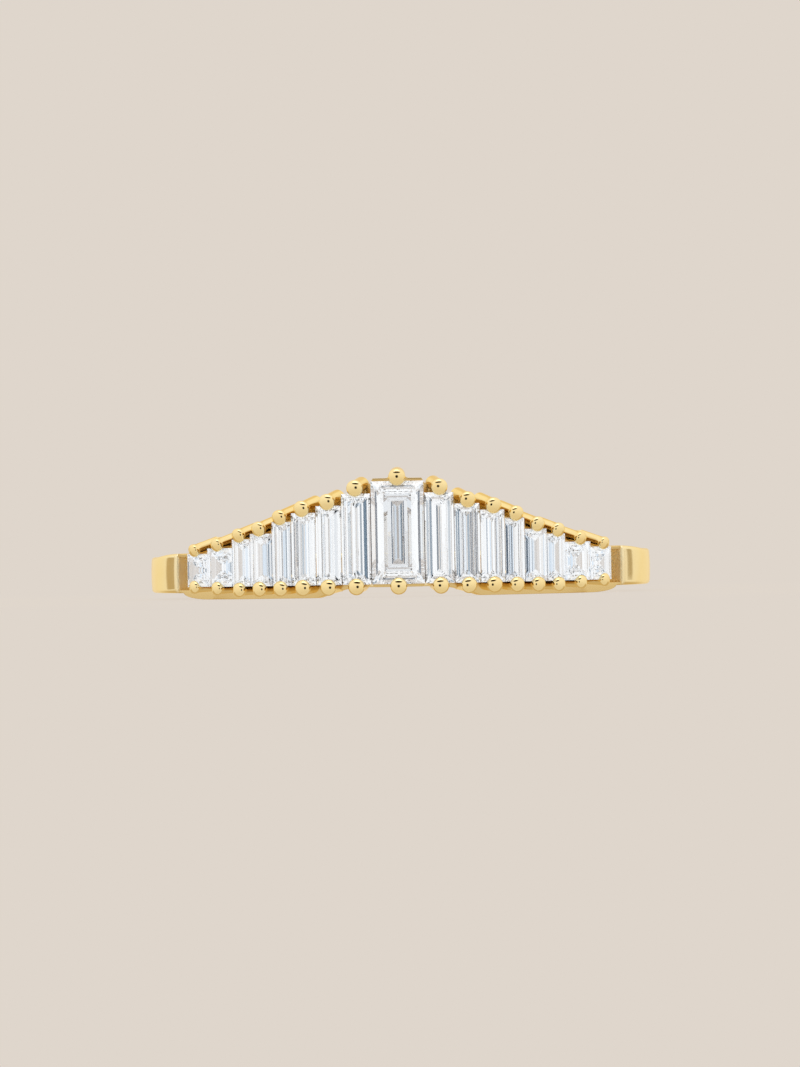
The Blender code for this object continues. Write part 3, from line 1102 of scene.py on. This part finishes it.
@dataclass
class Prongs:
    """A round stem with a domed bead on its tip at one edge of each stone."""

    layout: Layout
    gold: Material
    seats: list[Seat]
    row: Edge
    dome: float = 0.62
    length: float = 4.8
    sides: int = 40
    rings: int = 26
    stem_part: float = 0.25
    clearance: float = 0.02 * MM
    doubles: float = 0.0005 * MM
    seam: float = 0.001
    seal: float = 0.0001

    @property
    def name(self) -> str:
        """The piece's name."""
        return f"{self.row.name.lower()}_prongs"

    def places(self) -> Mesh:
        """Sets out one point at each bead's centre, with its radius and the way that its stem points.

        Returns:
            The points.
        """
        lay = self.layout
        centres, ways = [], []
        for seat in self.seats:
            height, slope = (seat.upper, seat.slope) if self.row is Edge.UPPER else (seat.lower, 0.0)
            centres.append(lay.axis.point(seat.angle, lay.beads, height))
            foot = lay.axis.point(seat.angle, lay.root, height + slope * (lay.beads - lay.root))
            ways.append((centres[-1] - foot).normalized())
        beads = [seat.bead for seat in self.seats]
        return loose_points("prong_places", centres, {"way": ways, "bead": beads})

    def cutter(self, name: str, seats: list[Seat]) -> Object:
        """The stones of some seats, grown by the clearance, which notch the prongs.

        Args:
            name: the object's name.
            seats: the seats, no two of which touch.

        Returns:
            The cutter.
        """
        shapes = []
        for seat in seats:
            mesh = bmesh.new()
            mesh.from_mesh(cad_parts[seat.node].data)
            bmesh.ops.remove_doubles(mesh, verts=mesh.verts, dist=self.doubles)
            centre = self.layout.axis.turn(seat.angle) @ Matrix.Translation((0.0, -seat.reach, seat.middle))
            grow = [1 + 2 * self.clearance / size for size in (seat.width, seat.width, seat.height)]
            mesh.transform(centre @ Matrix.Diagonal((*grow, 1.0)) @ centre.inverted())
            shapes.append(finished(seat.node, mesh))
        return linked(name, joined(name, shapes))

    def tree(self, cutters: list[Object]) -> ShapeTree:
        """Builds the tree that turns one prong, repeats it and notches the copies.

        Args:
            cutters: the stones' cutters.

        Returns:
            The tree.
        """
        lay = self.layout
        tree = ShapeTree(
            self.name,
            self.gold,
            {
                "Stem share": lay.stem_share,
                "Foot share": lay.foot(self.row),
                "Dome share": self.dome,
                "Length in beads": self.length,
                "Stem part": self.stem_part,
                "Sides": self.sides,
                "Rings": self.rings,
                **{cutter.name: cutter for cutter in cutters},
            },
        )
        given = tree.given
        stem, part, length = given("Stem share"), given("Stem part"), given("Length in beads")
        line = tree.add("GeometryNodeCurvePrimitiveLine")
        line = tree.add("GeometryNodeResampleCurve", {"Curve": line, "Count": given("Rings")})
        along = tree.add("GeometryNodeInputIndex") / (given("Rings") - 1.0)
        start = tree.maths("ARCCOSINE", stem)

        stem_way = tree.add("ShaderNodeMapRange", {"Value": along, "From Max": part})
        foot = stem * given("Foot share")
        stem_radius = foot + stem_way * (stem - foot)
        stem_height = stem_way * (length - tree.maths("SINE", start)) - length

        bead_way = tree.add("ShaderNodeMapRange", {"Value": along, "From Min": part, "From Max": 1.0})
        turn = bead_way * (start + math.pi / 2) - start
        squash = tree.between(turn, -self.seam, self.seam, 1.0, given("Dome share"))
        bead_radius = tree.maths("COSINE", turn)
        bead_height = tree.maths("SINE", turn) * squash

        radius, height = (
            tree.add("GeometryNodeSwitch", (along > part, on_stem, on_bead), input_type="FLOAT")
            for on_stem, on_bead in ((stem_radius, bead_radius), (stem_height, bead_height))
        )
        line = tree.moved(line, {"Position": tree.vector(z=height)})
        line = tree.add("GeometryNodeSetCurveRadius", {"Curve": line, "Radius": radius})
        circle = {"Resolution": given("Sides"), "Radius": 1.0}
        turned = {
            "Curve": line,
            "Profile Curve": tree.add("GeometryNodeCurvePrimitiveCircle", circle),
            "Scale": tree.add("GeometryNodeInputRadius"),
            "Fill Caps": True,
        }
        prong = tree.add("GeometryNodeCurveToMesh", turned)
        prong = tree.add("GeometryNodeMergeByDistance", {"Geometry": prong, "Distance": self.seal})
        way = tree.carried("way", "FLOAT_VECTOR")
        facing = tree.add("FunctionNodeAlignRotationToVector", {"Vector": way}, axis="Z")
        prongs = tree.copies(given("Geometry"), prong, facing, tree.carried("bead"))
        tree.finish(tree.cut(prongs, [tree.shape(cutter.name) for cutter in cutters]), SOFT_EDGE)
        return tree

    def build(self) -> Object:
        """Builds one row of prongs.

        Returns:
            The piece.
        """
        cutters = [self.cutter(name, self.seats[i::2]) for i, name in enumerate(("even_seats", "odd_seats"))]
        piece = self.tree(cutters).applied(self.places(), self.name)
        for cutter in cutters:
            bpy.data.objects.remove(cutter)
        return piece


# The stones


@dataclass(frozen=True)
class Step:
    """One step of facets: where it ends, as a share of the stone's width, and its slope in degrees."""

    inset: float
    slope: float


@dataclass
class StepCutStone:
    """A diamond cut in steps on its node's girdle. Each stone strays a little from the common slopes."""

    axis: FingerAxis
    seat: Seat
    diamond: Material
    crown: tuple[Step, ...] = (Step(0.11, 29.5), Step(0.24, 14.0))
    pavilion: tuple[Step, ...] = (Step(0.155, 52.0), Step(0.31, 37.5), Step(0.48, 34.5))
    girdle: float = 0.03
    stray: float = 1.6
    seed: int = 7

    def profile(self) -> list[tuple[float, float]]:
        """Works out the edges from the table down to the keel.

        Returns:
            The inset and the rise of each, as shares of the width.
        """
        chance = random.Random(self.seed + 2 * self.seat.place + (self.seat.angle > 0))
        edges = []
        for steps, side in ((self.crown, 1), (self.pavilion, -1)):
            inset, rise = 0.0, self.girdle / 2
            half = [(inset, side * rise)]
            for step in steps:
                slope = math.radians(step.slope + chance.uniform(-self.stray, self.stray))
                rise += (step.inset - inset) * math.tan(slope)
                inset = step.inset
                half.append((inset, side * rise))
            edges += half[::-1] if side > 0 else half
        return edges

    def build(self) -> Object:
        """Builds the stone.

        Returns:
            The piece.
        """
        seat = self.seat
        rings = []
        for inset, rise in self.profile():
            x, z = seat.width * (0.5 - inset), seat.height / 2 - seat.width * inset
            y = -seat.reach - seat.width * rise
            rings.append([Vector((x * i, y, seat.middle + z * j)) for i, j in CORNERS])
        mesh = loft(f"cut_{seat.node}", rings)
        mesh.transform(self.axis.turn(seat.angle))
        mesh.materials.append(self.diamond)
        return linked(mesh.name, mesh)


# The studio


@dataclass(frozen=True)
class Patch:
    """A part of the light tent with its own colour. Angles in degrees, azimuth from the front towards +X."""

    azimuth: Span
    elevation: Span
    soft: float
    colour: Colour
    paired: bool = False
    oval: bool = False

    def share(self, tree: Tree, azimuth: Value, elevation: Value) -> Value:
        """Is 1 inside the patch and 0 outside, with a soft edge.

        Args:
            tree: the tree to add to.
            azimuth: the angle from the front.
            elevation: the angle above the horizon.

        Returns:
            The share.
        """
        azimuth = abs(azimuth) if self.paired else azimuth
        offs = [
            (abs(value - (start + end) / 2), (end - start) / 2)
            for value, (start, end) in ((azimuth, self.azimuth), (elevation, self.elevation))
        ]
        soft = self.soft / 2
        if self.oval:
            across, up = (tree.maths("POWER", away / half, 2.0) for away, half in offs)
            soft /= offs[1][1]
            return tree.between(tree.maths("SQRT", across + up), 1 - soft, 1 + soft, 1.0, 0.0)
        across, up = (tree.between(away, half - soft, half + soft, 1.0, 0.0) for away, half in offs)
        return across * up


@dataclass(frozen=True)
class Disc:
    """A round part of the light tent with its own colour. Its radius and soft edge are in degrees."""

    radius: float
    soft: float
    colour: Colour

    def share(self, tree: Tree, towards: Value) -> Value:
        """Is 1 inside the disc and 0 outside. The cosine of the angle from its middle comes in."""
        near, far = (math.cos(math.radians(self.radius + side * self.soft)) for side in (-1, 1))
        return tree.between(towards, far, near)


@dataclass
class LightTent:
    """A white tent round the ring, with the dark lens and the gaps that polished gold and cut stones show.

    Light that comes out of a stone meets a tent of its own, cooler in front and beige behind, so that the
    stones stay white while the gold keeps its few dark lines.
    """

    backdrop: Colour = (0.738, 0.672, 0.604)
    upper: Colour = (1.05, 1.04, 1.02)
    lower: Colour = (0.80, 0.74, 0.64)
    fade_degrees: float = 50.0
    cool: Colour = (1.00, 1.03, 1.06)
    softbox: Disc = Disc(23.0, 7.0, (2.1, 2.04, 1.94))
    softbox_elevation: float = 67.0
    gold_lens: Disc = Disc(12.0, 2.0, (0.012, 0.010, 0.008))
    stone_lens: Disc = Disc(7.0, 2.0, (0.02, 0.05, 0.10))
    gold_patches: tuple[Patch, ...] = (
        Patch((168, 192), (-40, 40), 12.0, (0.86, 0.76, 0.58), paired=True),
        Patch((98, 190), (-80, -14), 14.0, (0.62, 0.50, 0.32), paired=True),
        Patch((-139.5, -125), (-6.5, 8.5), 3.0, (0.54, 0.43, 0.27)),
        Patch((129.5, 137), (-3, 8.5), 3.0, (0.50, 0.42, 0.29)),
        Patch((-44, 44), (31, 56), 6.0, (0.03, 0.018, 0.01), oval=True),
    )
    stone_patches: tuple[Patch, ...] = (
        Patch((60, 85), (-40, 50), 10.0, (0.66, 0.79, 0.93), paired=True),
        Patch((19.5, 22.5), (-40, 50), 1.5, (0.20, 0.29, 0.38), paired=True),
        Patch((46, 53), (-40, 50), 2.0, (0.04, 0.09, 0.15)),
        Patch((-54, -49.5), (-40, 50), 1.5, (0.16, 0.23, 0.30)),
        Patch((115, 185), (-60, 60), 10.0, (0.64, 0.60, 0.57), paired=True),
    )

    def build(self) -> None:
        """Builds the world: plain to the camera, a tent to everything else."""
        world = bpy.data.worlds.new("light_tent")
        world.use_nodes = True
        tree = Tree(world.node_tree)
        x, y, z = tree.split(tree.coordinates("Generated"))
        front = y * -1.0
        azimuth = tree.maths("DEGREES", tree.maths("ARCTAN2", x, front))
        elevation = tree.maths("DEGREES", tree.maths("ARCSINE", z))
        rise = math.radians(self.softbox_elevation)
        above = front * math.cos(rise) + z * math.sin(rise)
        up = tree.between(elevation, -self.fade_degrees, self.fade_degrees)
        on_gold = tree.mixed(up, self.lower, self.upper)
        on_gold = tree.mixed(self.softbox.share(tree, above), on_gold, self.softbox.colour)
        in_stones = self.cool
        for patch in self.gold_patches:
            on_gold = tree.mixed(patch.share(tree, azimuth, elevation), on_gold, patch.colour)
        for patch in self.stone_patches:
            in_stones = tree.mixed(patch.share(tree, azimuth, elevation), in_stones, patch.colour)
        on_gold = tree.mixed(self.gold_lens.share(tree, front), on_gold, self.gold_lens.colour)
        in_stones = tree.mixed(self.stone_lens.share(tree, front), in_stones, self.stone_lens.colour)
        from_stone, from_camera = (
            tree.add("ShaderNodeLightPath", output=f"Is {kind} Ray") for kind in ("Transmission", "Camera")
        )
        colour = tree.mixed(from_camera, tree.mixed(from_stone, on_gold, in_stones), self.backdrop)
        tree.fill(world.node_tree.nodes["Background"], {"Color": colour})
        bpy.context.scene.world = world


@dataclass
class Floor:
    """A pale plain floor that glows like the backdrop and takes only a faint shadow."""

    colour: Colour
    radius: float = 1.5
    sides: int = 96
    shadow_share: float = 0.10
    shadow_span: Span = (0.02, 0.04)

    def build(self, axis: FingerAxis) -> None:
        """Builds the floor under the ring.

        Args:
            axis: the ring's axis, which the floor is centred on.
        """
        mesh = bmesh.new()
        bmesh.ops.create_circle(mesh, cap_ends=True, segments=self.sides, radius=self.radius)
        bmesh.ops.translate(mesh, vec=(0.0, axis.y, 0.0), verts=mesh.verts)
        floor = linked("floor", finished("floor", mesh))
        if floor.data.polygons[0].normal.z < 0:
            floor.data.flip_normals()
        floor.data.materials.append(self.material())
        floor.visible_glossy = False
        floor.visible_transmission = False

    def material(self) -> Material:
        """Builds the floor's finish: lit paper near the ring, plain glow further out.

        Returns:
            The material.
        """
        made = bpy.data.materials.new("pale_floor")
        made.use_nodes = True
        tree = Tree(made.node_tree)
        nodes = made.node_tree.nodes
        nodes.remove(nodes["Principled BSDF"])
        away = tree.add("ShaderNodeVectorMath", (tree.coordinates("Object"),), "Value", operation="LENGTH")
        near = tree.between(away, *self.shadow_span, self.shadow_share, 0.0)
        glow, paper = (
            tree.add(kind, {"Color": self.colour}) for kind in ("ShaderNodeEmission", "ShaderNodeBsdfDiffuse")
        )
        surface = tree.add("ShaderNodeMixShader", (near, glow, paper))
        tree.fill(nodes["Material Output"], {"Surface": surface})
        return made


@dataclass
class PhotoCamera:
    """The camera at the photograph's angle."""

    azimuth_degrees: float = 0.48
    elevation_degrees: float = 0.0
    roll_degrees: float = -1.08
    distance: float = 0.3
    aim_height: float = 2.426 * MM
    lens: float = 255.5
    film: float = 36.0
    clip: Span = (0.01, 10.0)

    def build(self, axis: FingerAxis) -> None:
        """Builds the camera and makes it the scene's.

        Args:
            axis: the ring's axis, which the camera is aimed at.
        """
        data = bpy.data.cameras.new("photo_camera")
        data.lens = self.lens
        data.sensor_width = self.film
        data.clip_start, data.clip_end = self.clip
        turn, rise = math.radians(self.azimuth_degrees), math.radians(self.elevation_degrees)
        way = Vector((math.sin(turn) * math.cos(rise), -math.cos(turn) * math.cos(rise), math.sin(rise)))
        camera = bpy.data.objects.new("photo_camera", data)
        camera.location = Vector((0.0, axis.y, self.aim_height)) + way * self.distance
        look = (-way).to_track_quat("-Z", "Y").to_matrix().to_4x4()
        camera.rotation_euler = (look @ Matrix.Rotation(math.radians(self.roll_degrees), 4, "Z")).to_euler()
        bpy.context.scene.collection.objects.link(camera)
        bpy.context.scene.camera = camera


@dataclass
class RenderLook:
    """How light paths and colours are treated, without touching the engine, the samples or the size."""

    bounces: int = 24
    clamp: float = 8.0

    def apply(self) -> None:
        """Sets the colours to plain and lets light bounce long enough inside a stone."""
        scene = bpy.context.scene
        scene.view_settings.view_transform = "Standard"
        scene.view_settings.look = "None"
        cycles = scene.cycles
        cycles.max_bounces = self.bounces
        cycles.glossy_bounces = self.bounces
        cycles.transmission_bounces = self.bounces
        cycles.caustics_reflective = True
        cycles.caustics_refractive = True
        cycles.blur_glossy = 0.0
        cycles.sample_clamp_indirect = self.clamp


# Putting it together


def main() -> None:
    """Builds the ring piece by piece, then the studio."""
    logging.basicConfig(level=logging.INFO, format="%(name)s: %(message)s")
    layout = Layout(axis=FingerAxis.from_frame())
    axis, seats = layout.axis, layout.seats()
    band_gold = BandGold(axis_y=axis.y, end=layout.shoulder_angle).material("band_gold")
    recess_gold = RecessGold().material("recess_gold")
    stem_gold = StemGold(axis_y=axis.y).material("stem_gold")
    diamond = CutDiamond().material("cut_diamond")

    casting = (
        Shank(layout, band_gold),
        Gallery(layout, recess_gold, seats),
        Prongs(layout, stem_gold, seats, Edge.UPPER),
        Prongs(layout, stem_gold, seats, Edge.LOWER),
    )
    for maker in casting:
        piece = maker.build()
        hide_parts("ring_body")
        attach(piece, "root")
        piece.visible_transmission = False
        log.info("%s: %d faces", piece.name, len(piece.data.polygons))

    for seat in seats:
        stone = StepCutStone(axis, seat, diamond).build()
        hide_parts(seat.node)
        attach(stone, "root")
        log.info("%s: %.1f degrees, %.2f mm wide", seat.node, math.degrees(seat.angle), seat.width / MM)

    tent = LightTent()
    tent.build()
    Floor(colour=tent.backdrop).build(axis)
    PhotoCamera().build(axis)
    RenderLook().apply()


if __name__ == "__main__":
    main()
